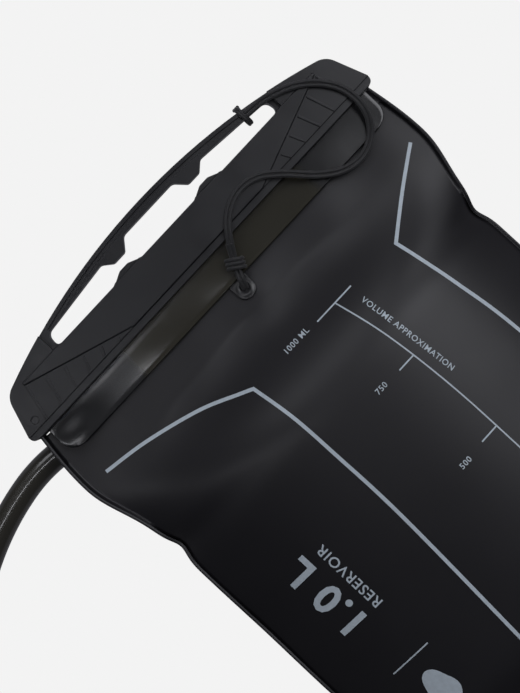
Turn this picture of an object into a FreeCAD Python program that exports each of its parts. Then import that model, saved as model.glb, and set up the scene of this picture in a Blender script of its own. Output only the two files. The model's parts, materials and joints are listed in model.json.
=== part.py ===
import FreeCAD, Part
import math
import os
import Sketcher

"""A slide-top hydration bladder lying on its back, front up.

+Y points from the bag's bottom to the slider and its handle, +X to the right of the
bag seen from the front, +Z up. The origin is on the surface that it lies on, under the
middle of the bag and slider. All sizes are in millimetres.
"""

Vector = FreeCAD.Vector
X_AXIS = Vector(1, 0, 0)
Y_AXIS = Vector(0, 1, 0)
Z_AXIS = Vector(0, 0, 1)

SIZES = {
    # bag
    "seam_height": 18.0,
    "film": 0.5,
    "bag_bottom": -122.4,
    "film_top": 100.0,
    "side_half": 78.6,
    "shoulder_extra": 6.4,
    "corner": 14.0,
    "weld_width": 4.0,
    "front_rise": 25.5,
    "back_drop": 20.5,
    # mouth flap, rails and tether tab
    "flap_left": -78.5,
    "flap_right": 80.6,
    "flap_low": 79.2,
    "flap_thick": 1.0,
    "flap_corner": 6.0,
    "fold_depth": 1.0,
    "rail_half": 76.0,
    "rail_low": 94.2,
    "rail_wide": 3.8,
    "rail_tall": 2.0,
    "tab_thick": 1.2,
    "tab_across": 7.6,
    "tab_hole": 1.5,
    # slider and handle
    "slider_half": 85.5,
    "slider_low": 91.5,
    "slider_apex": 122.4,
    "handle_sweep": 242.3,
    "plate": 1.6,
    "channel_half": 3.4,
    "mouth_half": 1.4,
    "lip_deep": 1.8,
    "channel_top": 102.5,
    "end_wall": 2.6,
    "pod_rise": 0.6,
    "rib_rise": 0.45,
    "rib_wide": 0.8,
    "rim_step": 2.5,
    "handle_thick": 5.4,
    "handle_root": 108.8,
    "bar_half": 57.0,
    "groove_deep": 0.5,
    # tether
    "cord_radius": 0.65,
    # outlet
    "outlet_y": -88.0,
    "outlet_axis": 8.4,
    "flange_radius": 19.0,
    "flange_thick": 1.6,
    "neck_radius": 9.0,
    "neck_bore": 5.0,
    "dimple": 16.6,
    "socket_radius": 7.4,
    "socket_bore": 4.6,
    "socket_long": 22.0,
    "elbow_radius": 11.5,
    "plug_radius": 4.5,
    "latch_thick": 1.2,
    "latch_travel": 1.4,
    # hose and drinking valve
    "hose_radius": 4.75,
    "coil_radius": 52.5,
    "coil_half": 8.5,
    "coil_high": 19.0,
    "collar_radius": 9.2,
    "collar_long": 16.0,
    "bite_long": 25.0,
}

doc = FreeCAD.newDocument("hydration_bladder")
sheet = doc.addObject("Spreadsheet::Sheet", "sizes")
for row, (alias, value) in enumerate(SIZES.items(), start=1):
    sheet.set(f"A{row}", alias)
    sheet.set(f"B{row}", str(value))
    sheet.setAlias(f"B{row}", alias)
doc.recompute()

NODES = []


def size(alias):
    """The sheet's value, for the few places that code works out from it."""
    return float(getattr(sheet, alias))


def keep(obj, label):
    """Names obj as a sub-part, which is written to its own file."""
    obj.Label = label
    NODES.append(obj)
    return obj


def bind(obj, **formulas):
    """Binds obj's properties to formulas over the sheet."""
    for name, formula in formulas.items():
        obj.setExpression(name, formula)
    return obj


def turn(axis, degrees):
    return FreeCAD.Rotation(axis, degrees)


ALONG = {"x": turn(Y_AXIS, 90), "y": turn(X_AXIS, -90), "z": FreeCAD.Rotation()}


def cylinder(name, radius, height, start, along="z"):
    """A cylinder from start along one axis, its sizes bound to formulas."""
    obj = doc.addObject("Part::Cylinder", name)
    bind(obj, Radius=radius, Height=height)
    obj.Placement = FreeCAD.Placement(start, ALONG[along])
    return obj


def block(name, corner, **formulas):
    """A box from its lowest corner, its sizes bound to formulas."""
    obj = doc.addObject("Part::Box", name)
    bind(obj, **formulas)
    obj.Placement.Base = corner
    return obj


def ring(name, middle, major, minor, along="z"):
    """A torus about one axis, its radii bound to formulas."""
    obj = doc.addObject("Part::Torus", name)
    bind(obj, Radius1=major, Radius2=minor)
    obj.Placement = FreeCAD.Placement(middle, ALONG[along])
    return obj


def cut(name, base, *tools):
    """base with each tool taken away in turn."""
    result = base
    for count, tool in enumerate(tools):
        step = doc.addObject("Part::Cut", f"{name}_cut_{count}")
        step.Base = result
        step.Tool = tool
        result = step
    return result


def fuse(name, *parts):
    obj = doc.addObject("Part::MultiFuse", f"{name}_fused")
    obj.Shapes = list(parts)
    return obj


def feature(label, shape):
    """A sub-part whose shape comes from Part's own functions."""
    obj = doc.addObject("Part::Feature", label)
    obj.Shape = shape
    return keep(obj, label)


# ---------------------------------------------------------------- outlines


def rounded(corners):
    """Edges of a closed outline: each corner is (x, y, radius), joined by tangent arcs."""
    count = len(corners)
    cuts = []
    for at in range(count):
        x, y, radius = corners[at]
        here = Vector(x, y, 0)
        before = Vector(*corners[at - 1][:2], 0) - here
        after = Vector(*corners[(at + 1) % count][:2], 0) - here
        half = before.getAngle(after) / 2
        reach = radius / math.tan(half)
        first = here + before.normalize() * reach
        last = here + after.normalize() * reach
        inward = (before + after).normalize()
        middle = here + inward * (radius / math.sin(half) - radius)
        cuts.append((first, middle, last))
    edges = []
    for at in range(count):
        first, middle, last = cuts[at]
        if (last - first).Length > 1e-6:
            edges.append(Part.Arc(first, middle, last))
        following = cuts[(at + 1) % count][0]
        if (following - last).Length > 1e-6:
            edges.append(Part.LineSegment(last, following))
    return edges


def mirrored(right_half):
    """Right-hand corners, bottom to top, closed with their mirror image."""
    left_half = [(-x, y, radius) for x, y, radius in reversed(right_half) if x]
    return right_half + left_half


def new_body(label):
    return keep(doc.addObject("PartDesign::Body", label), label)


def origin_plane(body, role):
    for plane in body.Origin.OriginFeatures:
        if plane.Role == role:
            return plane
    raise ValueError(role)


def new_sketch(body, role, name, raised=None):
    """A sketch on one of the body's own planes, raised by a formula along its normal."""
    sketch = body.newObject("Sketcher::SketchObject", name)
    sketch.AttachmentSupport = (origin_plane(body, role), [""])
    sketch.MapMode = "FlatFace"
    if raised:
        sketch.setExpression("AttachmentOffset.Base.z", raised)
    return sketch


def pad(body, sketch, name, length):
    step = body.newObject("PartDesign::Pad", name)
    step.Profile = sketch
    step.setExpression("Length", length)
    doc.recompute()
    if "Invalid" in step.State:
        raise ValueError(f"{name} failed")
    return step


def pocket(body, sketch, name, length, reverse=False):
    """A pocket that has to take some of the solid away."""
    before = body.Shape.Volume
    step = body.newObject("PartDesign::Pocket", name)
    step.Profile = sketch
    step.setExpression("Length", length)
    step.Reversed = reverse
    doc.recompute()
    if body.Shape.Volume > before - 1e-3:
        raise ValueError(f"{name} cuts nothing")
    return step


def rectangle(sketch, left, low, right, high):
    """A rectangle whose four sides are bound to formulas."""
    first = sketch.addGeometry(
        [
            Part.LineSegment(Vector(0, 0, 0), Vector(1, 0, 0)),
            Part.LineSegment(Vector(1, 0, 0), Vector(1, 1, 0)),
            Part.LineSegment(Vector(1, 1, 0), Vector(0, 1, 0)),
            Part.LineSegment(Vector(0, 1, 0), Vector(0, 0, 0)),
        ]
    )[0]
    for at in range(4):
        following = first + (at + 1) % 4
        sketch.addConstraint(Sketcher.Constraint("Coincident", first + at, 2, following, 1))
        direction = "Horizontal" if at % 2 == 0 else "Vertical"
        sketch.addConstraint(Sketcher.Constraint(direction, first + at))
    for kind, line, formula in (
        ("DistanceX", first, left),
        ("DistanceY", first, low),
        ("DistanceX", first + 2, right),
        ("DistanceY", first + 2, high),
    ):
        at = sketch.addConstraint(Sketcher.Constraint(kind, line, 1, 0.5))
        sketch.setExpression(f"Constraints[{at}]", formula)


# ---------------------------------------------------------------- bag films


def smooth_step(value):
    value = min(max(value, 0.0), 1.0)
    return value * value * (3 - 2 * value)


def soft_max(first, second, softness=1.2):
    """The larger of two heights, rounded where they cross."""
    return (first + second + math.hypot(first - second, softness)) / 2


def half_width(y):
    """Half the bag's width: shoulders near the slider, a pinch below them."""
    shoulder_y, above, below = 68.0, 34.0, 19.0
    pinch_y, pinch_deep, pinch_long = 33.0, 1.4, 8.0
    spread = above if y > shoulder_y else below
    bulge = size("shoulder_extra") * math.exp(-(((y - shoulder_y) / spread) ** 2))
    pinch = pinch_deep * math.exp(-(((y - pinch_y) / pinch_long) ** 2))
    return size("side_half") + bulge - pinch


def fullness(x, y):
    """1 in the middle of the bag, 0 at the weld's inner edge, negative outside it."""
    top_y, top_run = 70.0, 58.0
    bottom_y, bottom_run = size("bag_bottom") + size("weld_width"), 45.0
    across = x / (half_width(y) - size("weld_width"))
    side = (1 - across**2) * (1 + 0.55 * across**2)
    down = min((top_y - y) / top_run, 1.0)
    up = min((y - bottom_y) / bottom_run, 1.0)
    terms = [side, down * (2 - down), up * (2 - up)]
    filled = 1.0
    for term in terms:
        filled *= max(term, 0.0)
    return filled + sum(min(term, 0.0) for term in terms)


def front_top(x, y):
    base = size("seam_height") + size("film")
    return base + soft_max(size("front_rise") * fullness(x, y), 0.0)


def under_space():
    """What the back film is lifted over: (x, y, height, reach) along the outlet and hose."""
    gap = 0.6
    outlet_y = size("outlet_y")
    spots = [(0.0, outlet_y, size("dimple"), size("flange_radius") + 1.5)]
    socket_top = size("outlet_axis") + size("socket_radius") + gap
    for count in range(10):
        y = outlet_y + count * 3.0
        spots.append((0.0, y, socket_top, size("socket_radius") + 1.0))
    points = HOSE_ROUTE
    for first, last in zip(points, points[1:]):
        steps = 6
        for count in range(steps):
            at = first + (last - first) * (count / steps)
            top = at.z + size("hose_radius") + gap
            spots.append((at.x, at.y, top, size("hose_radius") + 1.0))
    return spots


def back_low(x, y, spots):
    """The underside of the back film. It dips under the floor, where it is cut flat."""
    full = fullness(x, y)
    fuller = full * (2 - full)
    base = size("seam_height") - size("film")
    low = base - soft_max(size("back_drop") * fuller, 0.0)
    sunk, run_out = -3.0, 15.0
    lift = sunk
    for spot_x, spot_y, height, reach in spots:
        away = math.hypot(x - spot_x, y - spot_y) - reach
        lift = max(lift, sunk + (height - sunk) * (1 - smooth_step(away / run_out)))
    return soft_max(low, lift)


def height_face(height):
    """A smooth face through height(x, y), over a rectangle larger than the bag."""
    edge_x, low_y, high_y = 90.0, -127.0, 103.0
    columns, rows = 37, 47
    grid = []
    for column in range(columns):
        x = -edge_x + 2 * edge_x * column / (columns - 1)
        line = []
        for row in range(rows):
            y = low_y + (high_y - low_y) * row / (rows - 1)
            line.append(Vector(x, y, height(x, y)))
        grid.append(line)
    surface = Part.BSplineSurface()
    surface.interpolate(grid)
    return surface.toShape()


def bag_outline():
    """The bag's flat outline: two side curves, a round corner at each end of the bottom."""
    corner, bottom, top = size("corner"), size("bag_bottom"), size("film_top")
    low = bottom + corner
    spans = 14
    heights = [low + (top - low) * count / spans for count in range(spans + 1)]
    right = Part.BSplineCurve()
    right.interpolate([Vector(half_width(y), y, 0) for y in heights])
    left = Part.BSplineCurve()
    left.interpolate([Vector(-half_width(y), y, 0) for y in reversed(heights)])
    foot = half_width(low)
    inset = corner * (1 - math.sqrt(0.5))
    left_arc = Part.Arc(
        Vector(-foot, low, 0),
        Vector(-foot + inset, bottom + inset, 0),
        Vector(-foot + corner, bottom, 0),
    )
    right_arc = Part.Arc(
        Vector(foot - corner, bottom, 0),
        Vector(foot - inset, bottom + inset, 0),
        Vector(foot, low, 0),
    )
    bottom_line = Part.LineSegment(
        Vector(-foot + corner, bottom, 0), Vector(foot - corner, bottom, 0)
    )
    top_line = Part.LineSegment(
        Vector(half_width(top), top, 0), Vector(-half_width(top), top, 0)
    )
    parts = (right, top_line, left, left_arc, bottom_line, right_arc)
    return Part.Face(Part.Wire([part.toShape() for part in parts]))


def film_between(low, high):
    """The solid between two faces, cut to the bag's outline."""
    tall = Vector(0, 0, 80)
    slab = low.extrude(tall).cut(high.extrude(tall))
    return slab.common(bag_outline().extrude(Vector(0, 0, 100)))


def make_films():
    film = size("film")
    front = film_between(
        height_face(lambda x, y: front_top(x, y) - film), height_face(front_top)
    )
    feature("front_film", front.Solids[0])
    spots = under_space()
    back = film_between(
        height_face(lambda x, y: back_low(x, y, spots)),
        height_face(lambda x, y: soft_max(back_low(x, y, spots), 0.0, 0.6) + film),
    )
    hole = Part.makeCylinder(
        size("neck_radius") + 0.3, 60, Vector(0, size("outlet_y"), 0), Z_AXIS
    )
    feature("back_film", back.cut(hole).Solids[0])


# ---------------------------------------------------------------- mouth


def make_mouth():
    """The mouth folded over the front, its two rails, and the tab for the tether."""
    flap = new_body("mouth_flap")
    outline = new_sketch(flap, "XY_Plane", "flap_outline", "sizes.seam_height + sizes.film")
    corner = size("flap_corner")
    left, right = size("flap_left"), size("flap_right")
    low, top = size("flap_low"), size("film_top")
    outline.addGeometry(
        rounded([(left, low, corner), (right, low, corner), (right, top, 0), (left, top, 0)])
    )
    pad(flap, outline, "flap_sheet", "sizes.flap_thick")
    fold = new_sketch(flap, "XY_Plane", "fold_outline", "sizes.seam_height - sizes.film")
    top_y = "sizes.film_top"
    rectangle(fold, "sizes.flap_left", top_y, "sizes.flap_right", top_y + " + sizes.fold_depth")
    pad(flap, fold, "fold_strip", "2 * sizes.film + sizes.flap_thick")

    seam = size("seam_height")
    sides = {
        "front_closure_rail": seam + size("film") + size("flap_thick"),
        "back_closure_rail": seam - size("film") - size("rail_tall"),
    }
    for label, low_z in sides.items():
        rail = block(
            label,
            Vector(-size("rail_half"), size("rail_low"), low_z),
            Length="2 * sizes.rail_half",
            Width="sizes.rail_wide",
            Height="sizes.rail_tall",
        )
        keep(rail, label)

    tab_x, tab_y = 3.1, 75.4
    base = Vector(tab_x, tab_y, seam + size("film"))
    disc = cylinder("tab_disc", "sizes.tab_across / 2", "sizes.tab_thick", base)
    stem = block(
        "tab_stem",
        base - Vector(size("tab_across") / 2, 0, 0),
        Length="sizes.tab_across",
        Width=f"sizes.flap_low - {tab_y}",
        Height="sizes.tab_thick",
    )
    hole = cylinder("tab_hole_tool", "sizes.tab_hole", "sizes.tab_thick", base)
    keep(cut("tether_eyelet", fuse("tab", disc, stem), hole), "tether_eyelet")


# ---------------------------------------------------------------- slider


# Where the pod's slanting edge starts, and how steeply it climbs outwards.
SLANT_LOW = Vector(30.6, 92.8, 0)
SLANT_SLOPE = 0.346


def slider_outline():
    """The slider and handle from the front: a bowed top edge between sloping ends."""
    sweep, apex = size("handle_sweep"), size("slider_apex")
    shoulder_x, half, low = 75.0, size("slider_half"), size("slider_low")
    drop = sweep - math.sqrt(sweep**2 - shoulder_x**2)
    slope = shoulder_x / math.sqrt(sweep**2 - shoulder_x**2)
    peak = apex - drop + shoulder_x * slope
    end_x, end_y = 79.3, peak - 79.3 * slope
    return rounded(mirrored([(half, low, 2.2), (end_x, end_y, 7.0), (0, peak, sweep)]))


def finger_opening():
    """The opening of the handle: three finger bays between two pairs of blunt nubs."""
    right = [
        (13.0, 108.3, 2.0),
        (18.0, 110.6, 2.0),
        (22.0, 110.6, 2.0),
        (27.0, 108.3, 2.0),
        (55.5, 108.3, 2.4),
        (54.6, 114.0, 2.6),
        (25.0, 116.9, 2.0),
        (21.4, 113.9, 1.6),
        (16.0, 113.9, 1.6),
        (12.2, 118.2, 2.5),
    ]
    return rounded(mirrored(right))


def rib_outlines():
    """The thin grip ribs in the corner triangles: each leans inward and ends on the slant."""
    lean, low, first, pitch, count = 3.2, 93.9, 75.4, 7.2, 6
    half = size("rib_wide") / 2
    edges = []
    for side in (-1, 1):
        for at in range(count):
            foot = first - pitch * at
            head = foot - lean * (1 - (at / count) ** 2)
            high = SLANT_LOW.y + (head - SLANT_LOW.x) * SLANT_SLOPE - 0.3
            corners = [
                (side * (foot - half), low, 0.25),
                (side * (foot + half), low, 0.25),
                (side * (head + half), high, 0.25),
                (side * (head - half), high, 0.25),
            ]
            edges += rounded(corners)
    return edges


def handle_groove():
    """A shallow groove along the front of the bowed bar."""
    sweep, apex = size("handle_sweep"), size("slider_apex")
    outer, inner, half_angle = sweep - 1.5, sweep - 2.8, math.radians(12.8)
    middle = Vector(0, apex - sweep, 0)

    def at(radius, angle):
        return middle + Vector(radius * math.sin(angle), radius * math.cos(angle), 0)

    ends = {angle: (at(outer, angle), at(inner, angle)) for angle in (-half_angle, half_angle)}
    return [
        Part.Arc(ends[-half_angle][0], at(outer, 0), ends[half_angle][0]),
        Part.LineSegment(*ends[half_angle]),
        Part.Arc(ends[half_angle][1], at(inner, 0), ends[-half_angle][1]),
        Part.LineSegment(*reversed(ends[-half_angle])),
    ]


def make_slider():
    """One moulding: a channel that grips the folded mouth, and a bowed finger handle."""
    body = new_body("slider")
    middle = "sizes.seam_height + sizes.flap_thick / 2"
    half = "(sizes.channel_half + sizes.plate)"
    face = f"{middle} + {half}"

    outline = new_sketch(body, "XY_Plane", "slider_outline", f"{middle} - {half}")
    outline.addGeometry(slider_outline())
    pad(body, outline, "slider_slab", f"2 * {half}")

    pod = new_sketch(body, "XY_Plane", "pod_outline", face)
    pod.addGeometry(
        rounded(mirrored([(SLANT_LOW.x, 93.6, 1.5), (73.2, 107.8, 0.6), (72.0, 108.6, 0.4)]))
    )
    pad(body, pod, "pod", "sizes.pod_rise")
    ribs = new_sketch(body, "XY_Plane", "rib_outlines", face)
    ribs.addGeometry(rib_outlines())
    pad(body, ribs, "ribs", "sizes.rib_rise")

    channel = new_sketch(body, "YZ_Plane", "channel_outline")
    rectangle(
        channel,
        "sizes.slider_low + sizes.lip_deep",
        f"{middle} - sizes.channel_half",
        "sizes.channel_top",
        f"{middle} + sizes.channel_half",
    )
    mouth = new_sketch(body, "YZ_Plane", "mouth_outline")
    rectangle(
        mouth,
        "sizes.slider_low - 1",
        f"{middle} - sizes.mouth_half",
        "sizes.slider_low + sizes.lip_deep + 1",
        f"{middle} + sizes.mouth_half",
    )
    start = "-sizes.slider_half + sizes.end_wall"
    for sketch, name in ((channel, "channel"), (mouth, "mouth")):
        sketch.setExpression("AttachmentOffset.Base.z", start)
        pocket(body, sketch, f"{name}_pocket", "2 * sizes.slider_half + 10", reverse=True)

    rim = new_sketch(body, "XY_Plane", "rim_outline", f"{face} - 0.8")
    rectangle(rim, "-100", "sizes.slider_low - 5", "100", "sizes.slider_low + sizes.rim_step")
    pocket(body, rim, "rim_step", "10", reverse=True)

    opening = new_sketch(body, "XY_Plane", "finger_opening", "0")
    opening.addGeometry(finger_opening())
    pocket(body, opening, "finger_bays", "60", reverse=True)

    for side, name in ((1, "front"), (-1, "back")):
        level = f"{middle} + {side} * sizes.handle_thick / 2"
        band = new_sketch(body, "XY_Plane", f"handle_{name}", level)
        rectangle(band, "-sizes.bar_half", "sizes.handle_root", "sizes.bar_half", "140")
        pocket(body, band, f"handle_{name}_pocket", "10", reverse=side > 0)

    groove = new_sketch(
        body, "XY_Plane", "groove_outline", f"{middle} + sizes.handle_thick / 2"
    )
    groove.addGeometry(handle_groove())
    pocket(body, groove, "handle_groove", "sizes.groove_deep")
    mark = new_sketch(body, "XY_Plane", "gate_mark", f"{face} - 0.25")
    mark.addGeometry(Part.Circle(Vector(-78.6, 96.9, 0), Z_AXIS, 1.4))
    pocket(body, mark, "gate_mark_pocket", "5", reverse=True)
    soften(body)


def soften(body):
    """Rounds the long visible edges of the slider's front."""
    front = size("seam_height") + size("flap_thick") / 2 + size("channel_half") + size("plate")
    pod_top = front + size("pod_rise")
    base = body.Tip
    names = []
    for count, edge in enumerate(base.Shape.Edges, start=1):
        box = edge.BoundBox
        if box.ZMin > pod_top - 0.01 and box.ZMax < pod_top + 0.01:
            names.append(f"Edge{count}")
    fillet = body.newObject("PartDesign::Fillet", "pod_rounding")
    fillet.Base = (base, names)
    fillet.Radius = 0.4
    doc.recompute()
    if fillet.State and "Invalid" in fillet.State:
        raise ValueError("the pod's rounding failed")


# ---------------------------------------------------------------- cords


def tangent_path(points, label):
    """A wire of straight runs joined by arcs, each as large as its two runs allow."""
    share = 0.45
    edges = []
    radii = []
    start = points[0]
    for before, here, after in zip(points, points[1:], points[2:]):
        into = here - before
        out = after - here
        turn_angle = into.getAngle(out)
        reach = share * min(into.Length, out.Length)
        radius = reach / math.tan(turn_angle / 2)
        radii.append(radius)
        first = here - into.normalize() * reach
        last = here + out.normalize() * reach
        inward = (last - here).normalize() + (first - here).normalize()
        depth = radius / math.cos(turn_angle / 2) - radius
        middle = here + inward.normalize() * depth
        edges.append(Part.LineSegment(start, first).toShape())
        edges.append(Part.Arc(first, middle, last).toShape())
        start = last
    edges.append(Part.LineSegment(start, points[-1]).toShape())
    print(label, "radii", " ".join(f"{radius:.0f}" for radius in radii))
    return Part.Wire(edges)


def tube_along(points, radius, label):
    """A solid tube along the path, its volume compared with section times length."""
    path = tangent_path(points, label)
    direction = points[1] - points[0]
    section = Part.Wire([Part.makeCircle(radius, points[0], direction)])
    solid = path.makePipeShell([section], True, False)
    expected = math.pi * radius**2 * path.Length
    print(f"{label} length {path.Length:.1f} volume ratio {solid.Volume / expected:.4f}")
    return solid


COIL_MIDDLE = Vector(-187, -30, 0)

# From the plug under the bag to its upper left corner, then out to the coil.
HOSE_ROUTE = [
    Vector(0, -59, 8.4),
    Vector(-1, -34, 6.6),
    Vector(-7, -3, 5),
    Vector(-17, 28, 5),
    Vector(-35, 55, 5),
    Vector(-59, 76.5, 5),
    Vector(-87, 86, 5),
    Vector(-115, 82, 5),
    Vector(-141, 70.5, 5),
    Vector(-167, 56.5, 5),
    Vector(-194, 40.5, 5),
    Vector(-219, 24, 5),
    Vector(-237, -1, 5),
]

# From the coil's upper turn down to the drinking valve.
TAIL_ROUTE = [
    Vector(-187, -79, 14.3),
    Vector(-163, -81, 13.8),
    Vector(-142, -92, 12),
    Vector(-127, -111, 9.8),
]

# The tether, from the handle over the slider and the shoulder to its knot.
TETHER_ROUTE = [
    Vector(47.4, 113.4, 22.2),
    Vector(52, 113.3, 22.9),
    Vector(57, 112.4, 24.5),
    Vector(64.5, 110, 25),
    Vector(71, 105, 25),
    Vector(75.6, 97.5, 25),
    Vector(76.2, 88.5, 24.2),
    Vector(72.5, 80.5, 21.6),
    Vector(64.5, 76.2, 20.9),
    Vector(55.5, 77.8, 20.9),
    Vector(47.5, 84, 22.4),
    Vector(40.5, 92.5, 25),
    Vector(33, 98.8, 25.3),
    Vector(24.5, 99.9, 25.3),
    Vector(16.5, 96.3, 25.3),
    Vector(11, 90, 24.9),
    Vector(8.4, 85.8, 22.6),
]

# From the knot to the tab on the bag.
TETHER_END = [Vector(6.8, 82.2, 22.0), Vector(4.6, 78.4, 21.5), Vector(3.4, 76.2, 20.1)]


def strand(points, offset):
    """One strand of the doubled cord, beside the middle line."""
    moved = []
    for at, here in enumerate(points):
        before = points[max(at - 1, 0)]
        after = points[min(at + 1, len(points) - 1)]
        side = (after - before).cross(Z_AXIS).normalize()
        moved.append(here + side * offset)
    return moved


def make_tether():
    """The doubled cord, its knot, and the hitch round the handle."""
    radius = size("cord_radius")
    apart = radius + 0.1
    strands = []
    for side in (-1, 1):
        route = strand(TETHER_ROUTE, side * apart)
        strands.append(tube_along(route, radius, "tether strand"))
    for side in (-1, 1):
        route = strand(TETHER_END, side * apart)
        strands.append(tube_along(route, radius, "tether end"))
    feature("tether_cord", Part.makeCompound(strands))

    knot = doc.addObject("Part::Ellipsoid", "tether_knot")
    bind(knot, Radius1="3.2 * sizes.cord_radius", Radius2="6 * sizes.cord_radius")
    bind(knot, Radius3="4.6 * sizes.cord_radius")
    knot.Angle1 = -90
    lean = turn(Z_AXIS, -35)
    knot.Placement = FreeCAD.Placement(Vector(7.4, 84.0, 22.2), lean)
    keep(knot, "tether_knot")

    middle_z = size("seam_height") + size("flap_thick") / 2
    half_thick = size("handle_thick") / 2 + radius + 0.05
    low_y, high_y = 113.2 - radius, 119.05 + radius
    rings = []
    for x in (45.2, 46.7):
        corners = [
            (low_y, middle_z - half_thick, 2),
            (high_y, middle_z - half_thick, 2),
            (high_y, middle_z + half_thick, 2),
            (low_y, middle_z + half_thick, 2),
        ]
        flat = Part.Wire([edge.toShape() for edge in rounded(corners)])
        flat.Placement = FreeCAD.Placement(Vector(x, 0, 0), FreeCAD.Rotation(Y_AXIS, Z_AXIS, X_AXIS))
        start = flat.Edges[0]
        section = Part.Wire(
            [Part.makeCircle(radius, start.valueAt(start.FirstParameter), start.tangentAt(0))]
        )
        rings.append(flat.makePipeShell([section], True, False))
    feature("tether_hitch", Part.makeCompound(rings))


# ---------------------------------------------------------------- outlet

LATCH_Y = 17.0
PLUG_TIP_Y = 3.0
WELL_FLOOR = 6.45
BUTTON_LOW = 8.2
GASKET_GAP = 0.15
NECK_LOW = 13.0
ELBOW_LAP = 0.2
HOUSING = Vector(17.4, 8.0, 13.2)
PLATE_LOW = -5.9
PLATE_TALL = 10.8
COLLAR_GRIP = 6.6
WATER_WAY = 2.4


def make_outlet():
    """The welded flange, the elbow with its socket, and the seal between them."""
    y = size("outlet_y")
    low_flange = size("dimple") + size("film")
    disc = cylinder(
        "flange_disc", "sizes.flange_radius", "sizes.flange_thick", Vector(0, y, low_flange)
    )
    neck = cylinder(
        "flange_neck",
        "sizes.neck_radius",
        f"sizes.dimple + sizes.film + sizes.flange_thick - {NECK_LOW}",
        Vector(0, y, NECK_LOW),
    )
    way = cylinder("flange_way", "sizes.neck_bore", "40", Vector(0, y, 0))
    keep(cut("port_flange", fuse("port_flange", disc, neck), way), "port_flange")

    elbow_top = size("outlet_axis") + size("socket_radius") + ELBOW_LAP
    gasket = cylinder(
        "gasket_disc",
        "sizes.elbow_radius - 0.5",
        f"sizes.dimple - {elbow_top + GASKET_GAP}",
        Vector(0, y, elbow_top),
    )
    gasket_hole = cylinder("gasket_hole", "sizes.neck_radius + 0.05", "40", Vector(0, y, 0))
    keep(cut("port_gasket", gasket, gasket_hole), "port_gasket")

    axis = size("outlet_axis")
    post = cylinder(
        "elbow_post",
        "sizes.elbow_radius",
        f"2 * (sizes.socket_radius + {ELBOW_LAP})",
        Vector(0, y, axis - size("socket_radius") - ELBOW_LAP),
    )
    socket = cylinder(
        "elbow_socket", "sizes.socket_radius", "sizes.socket_long", Vector(0, y, axis), "y"
    )
    latch_y = y + LATCH_Y
    shoulder = block(
        "latch_housing",
        Vector(-8.4, latch_y - HOUSING.y / 2, axis - HOUSING.z / 2),
        Length=f"{HOUSING.x}",
        Width=f"{HOUSING.y}",
        Height=f"{HOUSING.z}",
    )
    seat = cylinder("neck_seat", "sizes.neck_radius + 0.05", "20", Vector(0, y, NECK_LOW))
    drop = cylinder("elbow_drop", "3.8", "10", Vector(0, y, axis + 1))
    behind = 5.0
    bore = cylinder(
        "socket_bore_tool",
        "sizes.socket_bore",
        f"sizes.socket_long + {behind} + 2",
        Vector(0, y - behind, axis),
        "y",
    )
    slot = block(
        "latch_slot",
        Vector(-7.6, latch_y - 0.9, axis - 5.7),
        Length="20",
        Width="1.8",
        Height="11.4",
    )
    button_well = block(
        "button_well",
        Vector(WELL_FLOOR, latch_y - 3.0, axis - 5.7),
        Length="10",
        Width="6.0",
        Height="11.4",
    )
    solid = fuse("port_elbow", post, socket, shoulder)
    keep(cut("port_elbow", solid, seat, drop, bore, slot, button_well), "port_elbow")


def make_latch():
    """The release button, the plate that catches the plug's groove, and the spring."""
    latch_y = size("outlet_y") + LATCH_Y
    axis = size("outlet_axis")
    travel = size("latch_travel")
    half_thick = size("latch_thick") / 2
    plate = block(
        "latch_blank",
        Vector(PLATE_LOW, latch_y - half_thick, axis - PLATE_TALL / 2),
        Length=f"{WELL_FLOOR - 0.05 - PLATE_LOW}",
        Width="sizes.latch_thick",
        Height=f"{PLATE_TALL}",
    )
    tail = block(
        "latch_tail",
        Vector(WELL_FLOOR - 0.05, latch_y - half_thick, axis - 1.8),
        Length=f"{BUTTON_LOW - WELL_FLOOR + 0.05}",
        Width="sizes.latch_thick",
        Height="3.6",
    )
    window = cylinder(
        "latch_window",
        "sizes.plug_radius + 0.2",
        "4",
        Vector(travel - 0.2, latch_y - 2, axis),
        "y",
    )
    keep(cut("latch_plate", fuse("latch_plate", plate, tail), window), "latch_plate")

    button = new_body("release_button")
    face = new_sketch(button, "YZ_Plane", "button_outline", f"{BUTTON_LOW}")
    half_y, half_z, corner = 2.7, 5.4, 1.2
    face.addGeometry(
        rounded(
            [
                (latch_y - half_y, axis - half_z, corner),
                (latch_y + half_y, axis - half_z, corner),
                (latch_y + half_y, axis + half_z, corner),
                (latch_y - half_y, axis + half_z, corner),
            ]
        )
    )
    pad(button, face, "button_block", "2.8")

    wire_radius, coil_radius, pitch = 0.15, 1.0, 0.45
    room = BUTTON_LOW - WELL_FLOOR - 2 * wire_radius - 0.04
    helix = Part.makeHelix(pitch, room, coil_radius)
    section = Part.Wire([Part.makeCircle(wire_radius, Vector(coil_radius, 0, 0), Y_AXIS)])
    spring = Part.Wire(helix.Edges).makePipeShell([section], True, True)
    middle = Vector(WELL_FLOOR + wire_radius + 0.02, latch_y, axis + 3.6)
    spring.Placement = FreeCAD.Placement(middle, ALONG["x"])
    feature("button_spring", spring)


# ---------------------------------------------------------------- hose


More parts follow.
